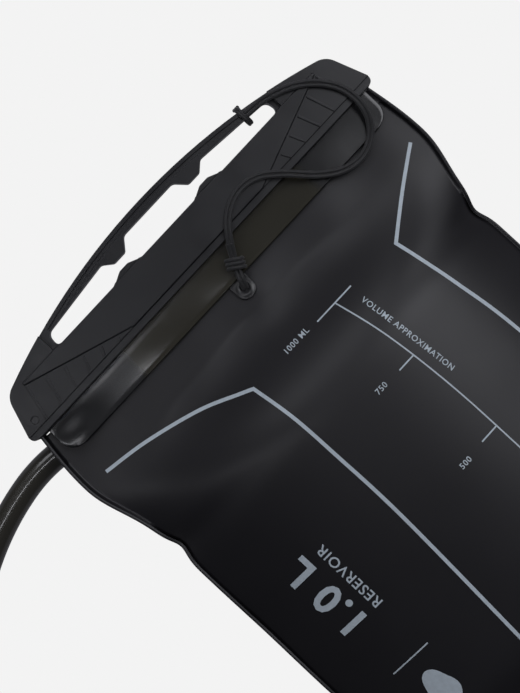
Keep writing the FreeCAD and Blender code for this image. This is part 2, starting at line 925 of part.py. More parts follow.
def make_hose():
    """The hose under and beside the bag, its coil, and the end at the drinking valve."""
    radius = size("hose_radius")
    feature("hose_tube", tube_along(HOSE_ROUTE, radius, "hose tube"))
    feature("hose_tail", tube_along(TAIL_ROUTE, radius, "hose tail"))
    coil = new_body("hose_coil")
    section = new_sketch(coil, "XZ_Plane", "coil_section")
    low_r = size("coil_radius") - size("coil_half")
    high_r = size("coil_radius") + size("coil_half")
    high = size("coil_high")
    section.addGeometry(
        rounded([(low_r, 0, 4), (high_r, 0, 4), (high_r, high, 4), (low_r, high, 4)])
    )
    spin = coil.newObject("PartDesign::Revolution", "coil_turns")
    spin.Profile = section
    spin.ReferenceAxis = (section, ["V_Axis"])
    spin.Angle = 360
    coil.Placement.Base = COIL_MIDDLE
    doc.recompute()


def make_plug():
    """The male plug in the socket, with its barb in the hose."""
    axis = size("outlet_axis")
    y = size("outlet_y") + PLUG_TIP_Y
    collar_y = size("outlet_y") + size("socket_long")
    hose_y = HOSE_ROUTE[0].y
    body = cylinder("plug_body", "sizes.plug_radius", f"{collar_y - y}", Vector(0, y, axis), "y")
    collar = cylinder("plug_collar", f"{COLLAR_GRIP}", f"{hose_y - collar_y}", Vector(0, collar_y, axis), "y")
    bore = cylinder("plug_bore", f"{WATER_WAY}", "60", Vector(0, y - 1, axis), "y")
    latch_y = size("outlet_y") + LATCH_Y
    grooves = []
    for name, middle, wide, deep in (("latch", latch_y, 2.0, 1.2), ("seal", y + 3.0, 1.6, 1.0)):
        outer = cylinder(f"{name}_groove_out", "8", f"{wide}", Vector(0, middle - wide / 2, axis), "y")
        inner = cylinder(
            f"{name}_groove_in",
            f"sizes.plug_radius - {deep}",
            f"{wide}",
            Vector(0, middle - wide / 2, axis),
            "y",
        )
        grooves.append(cut(f"{name}_groove", outer, inner))
    solid = fuse("hose_plug", body, collar)
    keep(cut("hose_plug", solid, bore, *grooves), "hose_plug")
    seal = ring("plug_o_ring", Vector(0, y + 3.0, axis), "sizes.plug_radius - 0.45", "0.5", "y")
    keep(seal, "plug_o_ring")


def make_valve():
    """The drinking valve: a stem on the hose, a shut-off collar and the bite sleeve."""
    last, before = TAIL_ROUTE[-1], TAIL_ROUTE[-2]
    heading = Vector(last.x - before.x, last.y - before.y, 0)
    place = FreeCAD.Placement(last, FreeCAD.Rotation(X_AXIS, heading))
    flange_long, spigot_long, gap = 3.0, 14.0, 0.3
    flange = cylinder("stem_flange", "6.4", f"{flange_long}", Vector(), "x")
    spigot = cylinder("stem_spigot", "4.9", f"{spigot_long}", X_AXIS * flange_long, "x")
    bore = cylinder("stem_bore", f"{WATER_WAY}", "40", X_AXIS * -5, "x")
    seal_x = flange_long + 10.0
    outer = cylinder("stem_groove_out", "8", "1.6", X_AXIS * (seal_x - 0.8), "x")
    inner = cylinder("stem_groove_in", "4.1", "1.6", X_AXIS * (seal_x - 0.8), "x")
    stem = cut("valve_stem", fuse("valve_stem", flange, spigot), bore, cut("stem_groove", outer, inner))
    keep(stem, "valve_stem")
    keep(ring("valve_o_ring", X_AXIS * seal_x, "4.55", "0.4", "x"), "valve_o_ring")

    sleeve_x = flange_long + gap
    drum = cylinder("collar_drum", "sizes.collar_radius - 1.2", "sizes.collar_long", X_AXIS * sleeve_x, "x")
    wings = []
    for side in (0, 180):
        wing = block(
            f"collar_wing_{side}",
            Vector(sleeve_x + 1.5, -1.6, 0),
            Length="sizes.collar_long - 3",
            Width="3.2",
            Height="sizes.collar_radius",
        )
        wing.Placement = FreeCAD.Placement(Vector(), turn(X_AXIS, 90 + side)).multiply(wing.Placement)
        wings.append(wing)
    hollow = cylinder("collar_hollow", "4.95", "sizes.collar_long + 2", X_AXIS * (sleeve_x - 1), "x")
    collar = cut("shutoff_collar", fuse("shutoff_collar", drum, *wings), hollow)
    keep(collar, "shutoff_collar")

    sleeve = new_body("bite_sleeve")
    root = new_sketch(sleeve, "YZ_Plane", "bite_root")
    root.addGeometry(Part.Circle(Vector(0, 0, 0), Z_AXIS, 6.6))
    waist = new_sketch(sleeve, "YZ_Plane", "bite_waist", "0.45 * sizes.bite_long")
    waist.addGeometry(Part.Ellipse(Vector(0, 0, 0), 7.0, 5.4))
    mouth = new_sketch(sleeve, "YZ_Plane", "bite_mouth", "sizes.bite_long")
    mouth.addGeometry(Part.Ellipse(Vector(0, 0, 0), 8.6, 3.8))
    loft = sleeve.newObject("PartDesign::AdditiveLoft", "bite_loft")
    loft.Profile = root
    loft.Sections = [waist, mouth]
    doc.recompute()
    slit = new_sketch(sleeve, "YZ_Plane", "bite_slit", "sizes.bite_long + 1")
    rectangle(slit, "-5", "-0.3", "5", "0.3")
    pocket(sleeve, slit, "bite_opening", "3")
    sleeve.Placement.Base = X_AXIS * (sleeve_x + size("collar_long"))

    for node in NODES[-4:]:
        node.Placement = place.multiply(node.Placement)


def write_parts():
    """Checks every object, then writes each sub-part to its own file."""
    doc.recompute()
    for obj in doc.Objects:
        if "Invalid" in obj.State or "Error" in obj.State:
            raise ValueError(f"{obj.Name} failed: {obj.State}")
    os.makedirs("parts", exist_ok=True)
    for node in NODES:
        shape = node.Shape
        if shape.isNull() or not shape.isValid():
            raise ValueError(f"{node.Label} has no valid shape")
        shape.exportStep(f"parts/{node.Label}.step")
        box = shape.BoundBox
        print(
            f"{node.Label}: {len(shape.Solids)} solid(s), {shape.Volume / 1000:.2f} cm3,",
            f"x {box.XMin:.1f}..{box.XMax:.1f} y {box.YMin:.1f}..{box.YMax:.1f}",
            f"z {box.ZMin:.1f}..{box.ZMax:.1f}",
        )


make_films()
make_mouth()
make_slider()
make_tether()
make_outlet()
make_latch()
make_plug()
make_hose()
make_valve()
write_parts()
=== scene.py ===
import json
import math

import bmesh
import bpy
from mathutils import Matrix, Vector
from mathutils.bvhtree import BVHTree


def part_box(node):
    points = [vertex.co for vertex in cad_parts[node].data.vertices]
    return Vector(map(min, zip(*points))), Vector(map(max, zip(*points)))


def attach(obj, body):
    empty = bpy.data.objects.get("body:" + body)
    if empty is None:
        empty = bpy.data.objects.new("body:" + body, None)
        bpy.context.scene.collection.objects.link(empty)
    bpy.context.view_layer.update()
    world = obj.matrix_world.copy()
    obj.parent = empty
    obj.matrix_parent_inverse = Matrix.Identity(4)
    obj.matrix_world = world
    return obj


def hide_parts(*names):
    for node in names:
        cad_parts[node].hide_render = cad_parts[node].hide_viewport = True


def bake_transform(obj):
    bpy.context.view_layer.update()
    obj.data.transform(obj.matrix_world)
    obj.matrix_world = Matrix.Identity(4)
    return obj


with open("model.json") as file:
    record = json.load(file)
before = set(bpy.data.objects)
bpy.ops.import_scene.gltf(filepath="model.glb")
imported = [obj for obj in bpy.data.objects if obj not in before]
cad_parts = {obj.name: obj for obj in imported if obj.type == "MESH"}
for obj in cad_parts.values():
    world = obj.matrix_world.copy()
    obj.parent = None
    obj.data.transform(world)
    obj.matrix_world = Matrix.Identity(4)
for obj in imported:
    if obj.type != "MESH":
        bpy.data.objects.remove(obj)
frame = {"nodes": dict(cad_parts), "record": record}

"""A slide-top hydration bladder seen from above, lying on its back on a pale surface.

+Y points to the slider and handle, +X to the right, +Z up. Lengths are in metres, and
MM turns the sizes of small details into metres.
"""

MM = 0.001
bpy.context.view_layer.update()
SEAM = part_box("mouth_flap")[0].z + 0.5 * MM
SLIDER_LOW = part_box("slider")[0].y
SLIDER_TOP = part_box("slider")[1].z
BAG_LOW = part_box("front_film")[0].y
WELD = 1.4 * MM
HOSE_RADIUS = 4.75 * MM
CORD_RADIUS = 0.65 * MM


# ------------------------------------------------------------------ helpers


def link(obj):
    bpy.context.scene.collection.objects.link(obj)
    return obj


def mesh_object(name, verts, faces):
    mesh = bpy.data.meshes.new(name)
    mesh.from_pydata([tuple(v) for v in verts], [], faces)
    mesh.update()
    shade_smooth(mesh)
    return link(bpy.data.objects.new(name, mesh))


def shade_smooth(mesh):
    mesh.polygons.foreach_set("use_smooth", [True] * len(mesh.polygons))


def grid_faces(columns, rows):
    """The faces of a sheet whose points were made row by row."""
    wide = columns + 1
    starts = [row * wide + column for row in range(rows) for column in range(columns)]
    return [(start, start + 1, start + wide + 1, start + wide) for start in starts]


def smooth_step(value):
    value = min(max(value, 0.0), 1.0)
    return value * value * (3 - 2 * value)


def soft_max(first, second, softness=1.2 * MM):
    return (first + second + math.hypot(first - second, softness)) / 2


def as_mesh(obj):
    """A plain mesh of a curve, of text, or of a mesh with its modifiers applied."""
    graph = bpy.context.evaluated_depsgraph_get()
    return bpy.data.meshes.new_from_object(obj.evaluated_get(graph), depsgraph=graph)


def apply_modifiers(obj):
    """Turns obj's modifiers into plain mesh."""
    mesh = as_mesh(obj)
    obj.modifiers.clear()
    obj.data = mesh


def subdivide(obj):
    step = obj.modifiers.new("finer", "SUBSURF")
    step.levels = 1
    step.render_levels = 1
    apply_modifiers(obj)


# ------------------------------------------------------------------ finishes


def srgb(code):
    """An sRGB hex colour as the linear colour that a shader takes."""
    parts = [int(code[at : at + 2], 16) / 255 for at in (1, 3, 5)]
    return [p / 12.92 if p <= 0.04045 else ((p + 0.055) / 1.055) ** 2.4 for p in parts] + [1]


def per_metre(millimetres):
    """How often a pattern of this size repeats in a metre, the scale that its node takes."""
    return 1000 / millimetres


def node(material, kind, inputs, **settings):
    """Adds a node. inputs are values or sockets to link, by name or number."""
    tree = material.node_tree
    made = tree.nodes.new(kind)
    for name, value in settings.items():
        setattr(made, name, value)
    for name, value in inputs.items():
        if isinstance(value, bpy.types.NodeSocket):
            tree.links.new(value, made.inputs[name])
        else:
            made.inputs[name].default_value = value
    return made


def finish(name, fixed, dark, light, cloud, rough, bump_size, bump_deep, rounding=0.0, mask=None):
    """A finish: fixed shader values, and colour, roughness and bump that vary over it.

    The colour goes from dark to light, and the roughness through the pair in rough, in
    patches of cloud millimetres or along mask. The bump has grains of bump_size and a depth
    of bump_deep, and edges look rounded to the radius in rounding, all in millimetres.
    """
    made = bpy.data.materials.new(name)
    made.use_nodes = True
    shader = made.node_tree.nodes["Principled BSDF"]
    for socket, value in fixed.items():
        shader.inputs[socket].default_value = value
    links = made.node_tree.links
    place = node(made, "ShaderNodeTexCoord", {}).outputs["Object"]
    patches = {"Vector": place, "Scale": per_metre(cloud), "Detail": 4.0}
    spread = mask(made, place) if mask else node(made, "ShaderNodeTexNoise", patches).outputs["Fac"]
    colours = {0: spread, 6: srgb(dark), 7: srgb(light)}
    mixed = node(made, "ShaderNodeMix", colours, data_type="RGBA")
    links.new(mixed.outputs[2], shader.inputs["Base Color"])
    limits = {"From Min": 0.0, "From Max": 1.0} if mask else {"From Min": 0.3, "From Max": 0.7}
    limits |= {"Value": spread, "To Min": rough[0], "To Max": rough[1]}
    gloss = node(made, "ShaderNodeMapRange", limits)
    links.new(gloss.outputs["Result"], shader.inputs["Roughness"])
    grain_inputs = {"Vector": place, "Scale": per_metre(bump_size), "Detail": 3.0}
    grain = node(made, "ShaderNodeTexNoise", grain_inputs).outputs["Fac"]
    relief = {"Height": grain, "Distance": bump_deep * MM, "Strength": 0.6}
    if rounding:
        edges = node(made, "ShaderNodeBevel", {"Radius": rounding * MM}, samples=4)
        relief["Normal"] = edges.outputs["Normal"]
    bump = node(made, "ShaderNodeBump", relief)
    links.new(bump.outputs["Normal"], shader.inputs["Normal"])
    return made


def clear_middle(material, place):
    """1 over the clear middle of the mouth film, 0 over its black ends."""
    across = node(material, "ShaderNodeSeparateXYZ", {"Vector": place}).outputs["X"]
    ends = []
    for dark, clear in ((-43 * MM, -40.5 * MM), (47 * MM, 44 * MM)):
        limits = {"Value": across, "From Min": dark, "From Max": clear}
        ends.append(node(material, "ShaderNodeMapRange", limits).outputs["Result"])
    both = node(material, "ShaderNodeMath", {0: ends[0], 1: ends[1]}, operation="MULTIPLY")
    return both.outputs["Value"]


def yarn_crown_highlights(material, place):
    """Painted highlights on the crowns of the slanting yarns of a thin braid, 1 mm apart, drawn a
    little coarse to show.
    """
    inputs = {"Vector": place, "Scale": per_metre(1.9), "Distortion": 1.5}
    wave = node(material, "ShaderNodeTexWave", inputs, bands_direction="DIAGONAL")
    return wave.outputs["Fac"]


FINISH = {
    # Urethane film, cast against a matt roll: a broad soft sheen over fine orange peel.
    "bag_film": finish(
        "cast urethane film",
        {"IOR": 1.5, "Specular IOR Level": 0.36, "Coat Weight": 0.08, "Coat Roughness": 0.3},
        "#131215", "#19181c", 45, (0.42, 0.5), 1.1, 0.03,
    ),
    # The same film, smoked and left clear in the middle, pressed to a gloss.
    "flap_film": finish(
        "smoked urethane film",
        {"IOR": 1.5, "Coat Weight": 0.22, "Coat Roughness": 0.12},
        "#0e0e10", "#2c2a22", 6, (0.26, 0.2), 6, 0.1, mask=clear_middle,
    ),
    # Glass-filled nylon, injection moulded: satin, with fine spark-eroded grain.
    "slider": finish(
        "moulded nylon",
        {"IOR": 1.53, "Specular IOR Level": 0.42},
        "#101013", "#17171b", 16, (0.3, 0.42), 0.4, 0.03, 0.35,
    ),
    # Polypropylene, extruded in a strip: waxy, slightly streaked.
    "rail": finish(
        "extruded polypropylene",
        {"IOR": 1.49},
        "#2b2b2b", "#333333", 12, (0.45, 0.55), 0.8, 0.02, 0.3,
    ),
    # Urethane sheet, die cut: soft edges and a low sheen.
    "tab": finish(
        "die cut urethane",
        {"IOR": 1.5},
        "#19191a", "#202022", 8, (0.3, 0.4), 1.0, 0.03, 0.25,
    ),
    # Polypropylene, injection moulded: a slightly rougher satin than nylon.
    "port": finish(
        "moulded polypropylene",
        {"IOR": 1.49},
        "#2c2c2f", "#353538", 14, (0.38, 0.48), 0.4, 0.03, 0.4,
    ),
    # Acetal, injection moulded: hard, pale grey and smooth, so that a finger finds it.
    "button": finish(
        "moulded acetal",
        {"IOR": 1.48},
        "#58585b", "#626266", 10, (0.35, 0.45), 0.4, 0.02, 0.4,
    ),
    # Polycarbonate, injection moulded: dark and glossy.
    "plug": finish(
        "moulded polycarbonate",
        {"IOR": 1.58},
        "#37373a", "#414145", 10, (0.2, 0.3), 0.6, 0.01, 0.35,
    ),
    # ABS, injection moulded: even satin.
    "collar": finish(
        "moulded ABS",
        {"IOR": 1.54},
        "#2f2f33", "#38383c", 12, (0.35, 0.45), 0.4, 0.03, 0.5,
    ),
    # Nitrile rubber, moulded: matt black.
    "seal": finish(
        "moulded nitrile rubber",
        {"IOR": 1.52},
        "#202020", "#282828", 6, (0.5, 0.6), 0.5, 0.02, 0.2,
    ),
    # Silicone, moulded: a dusty translucent grey that hides its gloss.
    "bite": finish(
        "moulded silicone",
        {"IOR": 1.41, "Sheen Weight": 0.2},
        "#4d4d50", "#5b5b5e", 9, (0.42, 0.52), 0.7, 0.02, 0.5,
    ),
    # Stainless steel wire, drawn: bright, with faint lengthwise marks.
    "steel": finish(
        "drawn stainless steel",
        {"Metallic": 1.0},
        "#b9b9b6", "#cfcfcd", 2, (0.25, 0.38), 0.3, 0.01, 0.05,
    ),
    # Nylon cord, braided: the colour is painted lighter along the slanting yarns' crowns, a painted
    # highlight for the light they catch.
    "cord": finish(
        "braided nylon",
        {"IOR": 1.53, "Specular IOR Level": 0.4, "Sheen Weight": 0.25},
        "#0c0c0d", "#242427", 2, (0.5, 0.7), 0.5, 0.08, mask=yarn_crown_highlights,
    ),
    # Urethane tube, extruded: smoky olive with a wet gloss that draws long highlights.
    "hose": finish(
        "extruded urethane tube",
        {"IOR": 1.5, "Coat Weight": 0.8, "Coat Roughness": 0.08},
        "#24221c", "#302e27", 28, (0.25, 0.33), 3.3, 0.03,
    ),
}

# Two-part ink, screen printed: dull, thin in places.
INK = finish("screen print ink", {"IOR": 1.5}, "#a9b3bb", "#c2cdd6", 1.5, (0.5, 0.6), 0.6, 0.005)


def paint(obj, material):
    obj.data.materials.clear()
    obj.data.materials.append(material)


def finish_nodes():
    """Every CAD node takes the finish of its own material slot."""
    for entry in frame["record"]["subparts"]:
        paint(frame["nodes"][entry["node"]], FINISH[entry["material_slot"]])


def add(obj, body, slot, *stands_for):
    """obj takes the finish of slot and some CAD nodes' place. It rides on body, if given."""
    paint(obj, FINISH[slot])
    if stands_for:
        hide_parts(*stands_for)
    if body:
        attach(obj, body)


def add_print(obj):
    """obj is ink on the bag's film."""
    paint(obj, INK)
    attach(obj, "bag")


# ------------------------------------------------------------------ camera


def make_camera():
    """Straight down on the bag's upper half, turned so that the slider climbs rightwards."""
    centre = Vector((-8 * MM, 58 * MM, 0))
    view_long = 235.6 * MM
    data = bpy.data.cameras.new("camera")
    data.lens = 85
    height = SLIDER_TOP + view_long * data.lens / data.sensor_width
    camera = link(bpy.data.objects.new("camera", data))
    camera.location = centre + Vector((0, 0, height))
    camera.rotation_euler = (0, 0, math.radians(-47))
    bpy.context.scene.camera = camera


# ------------------------------------------------------------------ cords

COIL_MIDDLE = Vector((-187, -30, 0))
COIL_TURNS = 1.25

HOSE_ROUTE = [
    (0, -59, 8.4),
    (-1, -34, 6.6),
    (-7, -3, 5),
    (-17, 28, 5),
    (-35, 55, 5),
    (-59, 76.5, 5),
    (-87, 86, 5),
    (-115, 82, 5),
    (-141, 70.5, 5),
    (-167, 56.5, 5),
    (-194, 40.5, 5),
    (-219, 24, 5),
    (-237, -1, 5),
]

TAIL_ROUTE = [(-163, -81, 14.2), (-142, -92, 12), (-127, -111, 9.8)]

TETHER_ROUTE = [
    (46.6, 115.6, 22.1),
    (52, 115.0, 22.6),
    (57, 113.6, 24.5),
    (64.5, 110.4, 25),
    (71, 105, 25),
    (75.6, 97.5, 25),
    (76.2, 88.5, 24.2),
    (72.5, 80.5, 21.6),
    (64.5, 76.2, 20.9),
    (55.5, 77.8, 20.9),
    (47.5, 84, 22.4),
    (40.5, 92.5, 25),
    (33, 98.8, 25.3),
    (24.5, 99.9, 25.3),
    (16.5, 96.3, 25.3),
    (11, 90, 24.9),
    (8.4, 85.8, 22.6),
]


def coil_points():
    """The coil's turns: the hose winds inwards, climbs over itself and leaves on top."""
    per_turn, wide, low = 16, 57, 5
    tighter, climb = 7, 9.5
    count = int(per_turn * COIL_TURNS)
    points = []
    for at in range(count + 1):
        turns = at / per_turn
        angle = math.pi + 2 * math.pi * turns
        radius = wide - tighter * smooth_step(turns / 0.7)
        height = low + climb * smooth_step((turns - 0.62) / 0.36)
        spot = Vector((radius * math.cos(angle), radius * math.sin(angle), height))
        points.append(COIL_MIDDLE + spot)
    return points


def spline_object(name, points, radius=0.0, ring=6):
    """A smooth line with points, in millimetres, as its control points, and a round section."""
    data = bpy.data.curves.new(name, "CURVE")
    data.dimensions = "3D"
    data.bevel_depth = radius
    data.bevel_resolution = ring
    data.use_fill_caps = True
    data.resolution_u = 12
    line = data.splines.new("NURBS")
    line.points.add(len(points) - 1)
    for spot, point in zip(line.points, points):
        spot.co = (point[0] * MM, point[1] * MM, point[2] * MM, 1)
    line.order_u = 3
    line.use_endpoint_u = True
    line.use_smooth = True
    return link(bpy.data.objects.new(name, data))


def line_points(name, points):
    """Points read along the smooth line through a route."""
    bare = spline_object(name, points)
    found = [vert.co.copy() for vert in as_mesh(bare).vertices]
    bpy.data.objects.remove(bare)
    return found


def solid_tube(name, points, radius, ring=5):
    """The tube as a mesh rather than a curve."""
    obj = spline_object(name, points, radius, ring=ring)
    mesh = as_mesh(obj)
    bpy.data.objects.remove(obj)
    shade_smooth(mesh)
    return link(bpy.data.objects.new(name, mesh))


def make_hose():
    points = HOSE_ROUTE + coil_points() + TAIL_ROUTE
    hose = spline_object("hose", points, HOSE_RADIUS, ring=10)
    add(hose, "bag", "hose", "hose_tube", "hose_coil", "hose_tail")


def beside(points, offset):
    """The same route, moved sideways, for one of two strands."""
    route = [Vector(point) for point in points]
    moved = []
    for at, here in enumerate(route):
        before = route[max(at - 1, 0)]
        after = route[min(at + 1, len(route) - 1)]
        side = (after - before).cross(Vector((0, 0, 1))).normalized()
        moved.append(here + side * offset)
    return moved


def make_tether():
    """Two strands from the handle, round the slider's end, and back to the knot."""
    turn_at = 5
    for count, offset in enumerate((-0.7, 0.7)):
        route = beside(TETHER_ROUTE, offset)
        middle = (route[turn_at] + route[turn_at + 1]) / 2
        halves = (
            ("outer", route[: turn_at + 1] + [middle], 106, 46),
            ("inner", [middle] + route[turn_at + 1 :], 3, 149),
        )
        for label, points, start_x, end_x in halves:
            strand = solid_tube(f"tether_{label}_{count}", points, CORD_RADIUS)
            add(strand, None, "cord", "tether_cord")
            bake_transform(strand)
            path = line_points("measure", points)


def make_knot(surface):
    """An overhand knot in the doubled cord, and its two ends down to the tab."""
    centre = Vector((7.0, 83.4, 22.4))
    lean = Matrix.Rotation(math.radians(62), 4, "Z")
    points = []
    turns, steps = 2.6, 34
    for at in range(steps + 1):
        turn = 2 * math.pi * turns * at / steps
        along = -1.9 + 3.8 * at / steps + 0.7 * math.cos(turn)
        spot = Vector((along, 3.0 * math.cos(turn), 1.7 * math.sin(turn)))
        points.append(centre + lean @ spot)
    wrap = spline_object("tether_knot_wrap", points, CORD_RADIUS)
    add(wrap, "bag", "cord", "tether_knot")
    tab_top = surface.height(3.2 * MM, 75.4 * MM) / MM + 2.2
    for count, offset in enumerate((-0.68, 0.68)):
        core = [
            (10.4, 89.4, 24.6), (8.6, 86.4, 23.0), (7.0, 83.4, 22.4),
            (5.3, 80.2, 22.2), (4.0, 77.6, tab_top + 0.6), (3.2, 75.2, tab_top - 1.4),
        ]
        strand = spline_object(f"tether_core_{count}", beside(core, offset), CORD_RADIUS)
        add(strand, "bag", "cord")


def make_tab(surface):
    """The tongue of film that holds the tether, with a pressed ring round its hole."""
    low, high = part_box("tether_eyelet")
    radius = (high.x - low.x) / 2
    middle = Vector(((low.x + high.x) / 2, low.y + radius, 0))
    columns, rows = 16, 18
    verts = []
    for row in range(rows + 1):
        y = low.y + (high.y + 2 * MM - low.y) * row / rows
        drop = min(max(middle.y - y, 0), radius)
        half = math.sqrt(radius**2 - drop**2)
        for column in range(columns + 1):
            x = middle.x + half * (2 * column / columns - 1)
            away = math.hypot(x - middle.x, y - middle.y)
            ring = 0.5 * MM * math.exp(-(((away - 2.3 * MM) / (0.6 * MM)) ** 2))
            sunk = 0.5 * MM * math.exp(-((away / (1.2 * MM)) ** 2))
            z = surface.height(middle.x, y) + 0.9 * MM + ring - sunk
            verts.append(Vector((x, y, z)))
    tab = mesh_object("tether_tab", verts, grid_faces(columns, rows))
    shell = tab.modifiers.new("thickness", "SOLIDIFY")
    shell.thickness = 1.1 * MM
    shell.offset = -1.0
    apply_modifiers(tab)
    add(tab, "bag", "tab", "tether_eyelet")


def make_hitch():
    """Two turns of cord round the bowed bar. The bight that holds them is not made here."""
    low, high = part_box("tether_hitch")
    middle = (low + high) / 2 / MM
    half_y = ((high.y - low.y) / 2 - CORD_RADIUS) / MM
    half_z = ((high.z - low.z) / 2 - CORD_RADIUS) / MM
    points = []
    turns, per_turn = 2.0, 12
    for at in range(int(turns * per_turn) + 1):
        angle = 2 * math.pi * at / per_turn
        spread = max(abs(math.cos(angle)), abs(math.sin(angle)))
        x = middle.x - 0.8 + 1.6 * at / (turns * per_turn)
        y = middle.y + half_y * math.cos(angle) / spread ** 0.5
        z = middle.z + half_z * math.sin(angle) / spread ** 0.5
        points.append(Vector((x, y, z)))
    rings = spline_object("tether_hitch_turns", points, CORD_RADIUS)
    add(rings, "closing_slider", "cord", "tether_hitch")


# ------------------------------------------------------------------ outlet


def make_spring():
    """The button's return spring, which shortens as the button goes in."""
    low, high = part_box("button_spring")
    middle, wire = (low + high) / 2, 0.15 * MM
    radius = (high.y - low.y) / 2 - wire
    turns, per_turn = 3.5, 14
    points = []
    steps = int(turns * per_turn)
    for at in range(steps + 1):
        angle = 2 * math.pi * at / per_turn
        x = low.x + wire + (high.x - low.x - 2 * wire) * at / steps
        y, z = middle.y + radius * math.cos(angle), middle.z + radius * math.sin(angle)
        points.append(Vector((x, y, z)) / MM)
    spring = solid_tube("spring_wire", points, wire, ring=3)
    add(spring, None, "steel", "button_spring")
    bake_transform(spring)


# ------------------------------------------------------------------ bag

FLAT_HALF = 85.3 * MM
FLAT_LOW = -133 * MM
CORNER = 14 * MM
SHOULDER_Y = 68 * MM
BODY_HALF = 78.6 * MM
SHOULDER_SWELL = 6.4 * MM
HALF_WELD_THICK = 0.45 * MM
HALF_MOUTH_THICK = 0.3 * MM
PINCHES = (31 * MM, 36 * MM)
SIM_SCALE = 10.0
SIM_FRAMES = 45
COLUMNS = 60
ROWS = 80


def filled_half(y):
    """Half the filled bag's width: shoulders near the slider, straighter below."""
    spread = 34 * MM if y > SHOULDER_Y else 19 * MM
    return BODY_HALF + SHOULDER_SWELL * math.exp(-(((y - SHOULDER_Y) / spread) ** 2))


def flat_half(y):
    """Half the flat sheet's width. Above the shoulders the bag is no narrower filled."""
    return filled_half(y) + 0.3 * MM if y > SHOULDER_Y else FLAT_HALF


def corner_inset(y, low):
    """How far a rounded bottom corner sets the edge in at y."""
    depth = min(max(low + CORNER - y, 0.0), CORNER)
    return CORNER - math.sqrt(CORNER**2 - depth**2)


def flat_place(across, down):
    """A point inside the weld of the flat sheet: across from -1 to 1, down from 0 to 1."""
    low = FLAT_LOW + WELD
    y = SLIDER_LOW + (low - SLIDER_LOW) * down
    return Vector((across * (flat_half(y) - WELD - corner_inset(y, low)), y, 0))


def filled_place(across, down, side):
    """Where that point starts when the bag is full: the edge is pulled in, the middle domed."""
    low = BAG_LOW + WELD
    y = SLIDER_LOW + (low - SLIDER_LOW) * down
    half = filled_half(y) - WELD
    slack = max((flat_half(y) - WELD) / half - 1, 0.0)
    rise = 2 * half * math.sqrt(0.375 * slack)
    pinch = math.exp(-(((y - PINCHES[0 if across < 0 else 1]) / (4.5 * MM)) ** 2))
    half -= 1.7 * MM * pinch + corner_inset(y, low)
    ends = smooth_step((1 - down) / 0.22) * smooth_step(down / 0.1)
    z = side * rise * (1 - abs(across) ** 2.6) * ends
    edge = abs(across) ** 8 * smooth_step(down / 0.15)
    z += edge * (0.7 * MM * math.sin(y / (7.3 * MM)) - 2.4 * MM * pinch)
    return Vector((across * half, y, z))


def film_grid():
    """Two sheets joined round the edge: their points, faces, edge loop and top row."""
    index, flat, filled, faces = {}, [], [], []
    for side in (1, -1):
        for row in range(ROWS + 1):
            for column in range(COLUMNS + 1):
                edge = column in (0, COLUMNS) or row in (0, ROWS)
                key = (0 if edge else side, column, row)
                if key not in index:
                    across, down = 2 * column / COLUMNS - 1, row / ROWS
                    index[key] = len(flat)
                    flat.append(flat_place(across, down))
                    filled.append(filled_place(across, down, 0 if edge else side))

    def number(side, column, row):
        edge = column in (0, COLUMNS) or row in (0, ROWS)
        return index[(0 if edge else side, column, row)]

    for side in (1, -1):
        for row in range(ROWS):
            for column in range(COLUMNS):
                near, far = (column, row), (column + 1, row + 1)
                around = (near, (column, row + 1), far, (column + 1, row))
                quad = [number(side, *spot) for spot in around]
                faces.append(quad if side > 0 else quad[::-1])
    rim = [number(0, 0, row) for row in range(ROWS + 1)]
    rim += [number(0, column, ROWS) for column in range(1, COLUMNS + 1)]
    rim += [number(0, COLUMNS, row) for row in range(ROWS - 1, -1, -1)]
    top = [number(0, column, 0) for column in range(COLUMNS + 1)]
    return flat, filled, faces, rim, top


def inflate(obj, flat, held):
    """Fills the bag with a cloth simulation. The weld is held where the full bag has it."""
    obj.data.transform(Matrix.Scale(SIM_SCALE, 4))
    obj.shape_key_add(name="filled")
    rest = obj.shape_key_add(name="flat")
    for spot, place in zip(rest.data, flat):
        spot.co = place * SIM_SCALE
    group = obj.vertex_groups.new(name="held")
    group.add(held, 1.0, "REPLACE")
    cloth = obj.modifiers.new("fill", "CLOTH")
    settings = cloth.settings
    settings.rest_shape_key = rest
    settings.quality = 7
    settings.mass = 0.3
    settings.tension_stiffness = 90
    settings.compression_stiffness = 90
    settings.shear_stiffness = 30
    settings.bending_stiffness = 0.6
    settings.tension_damping = 15
    settings.compression_damping = 15
    settings.shear_damping = 15
    settings.air_damping = 2
    settings.vertex_group_mass = "held"
    settings.use_pressure = True
    settings.uniform_pressure_force = 2.5
    settings.effector_weights.gravity = 0
    cloth.point_cache.frame_end = SIM_FRAMES
    scene = bpy.context.scene
    for count in range(1, SIM_FRAMES + 1):
        scene.frame_set(count)
    apply_modifiers(obj)
    scene.frame_set(1)
    obj.vertex_groups.clear()
    obj.data.transform(Matrix.Scale(1 / SIM_SCALE, 4))


def under_spots():
    """What the back film is lifted over: (x, y, height, reach) at the outlet and the hose."""
    outlet_y, gap = -88 * MM, 0.4 * MM
    spots = [(0.0, outlet_y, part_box("port_gasket")[1].z, 20.5 * MM)]
    for count in range(10):
        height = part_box("port_elbow")[1].z + gap
        spots.append((0.0, outlet_y + 3 * count * MM, height, 8.4 * MM))
    for spot in line_points("under", HOSE_ROUTE)[::4]:
        spots.append((spot.x, spot.y, spot.z + HOSE_RADIUS + gap, HOSE_RADIUS + 1 * MM))
    return spots


